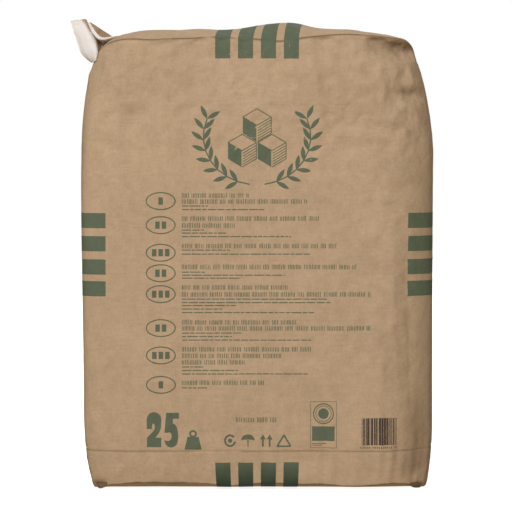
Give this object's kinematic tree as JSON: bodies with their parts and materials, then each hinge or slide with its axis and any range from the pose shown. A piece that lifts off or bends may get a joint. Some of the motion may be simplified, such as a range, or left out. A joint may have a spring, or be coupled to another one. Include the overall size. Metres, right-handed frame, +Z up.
{
  "type": "bag of sugar",
  "caption": "Filled brown paper sack of sugar, standing upright on its flat pasted bottom, with a white filling sleeve sticking out of a top corner.",
  "frame": {"origin": "middle of the flat base that the sack stands on", "axes": "+X along the width, to the right for a viewer of the printed face; -Y is the way the printed face looks; +Z up"},
  "size_m": [0.4308, 0.1525, 0.5558],
  "materials": {
    "kraft_paper": "matt brown kraft paper, printed in dull green",
    "bleached_paper": "matt off-white paper"
  },
  "bodies": {
    "root": {"sack": "kraft_paper", "valve_sleeve": "bleached_paper"}
  },
  "joints": []
}
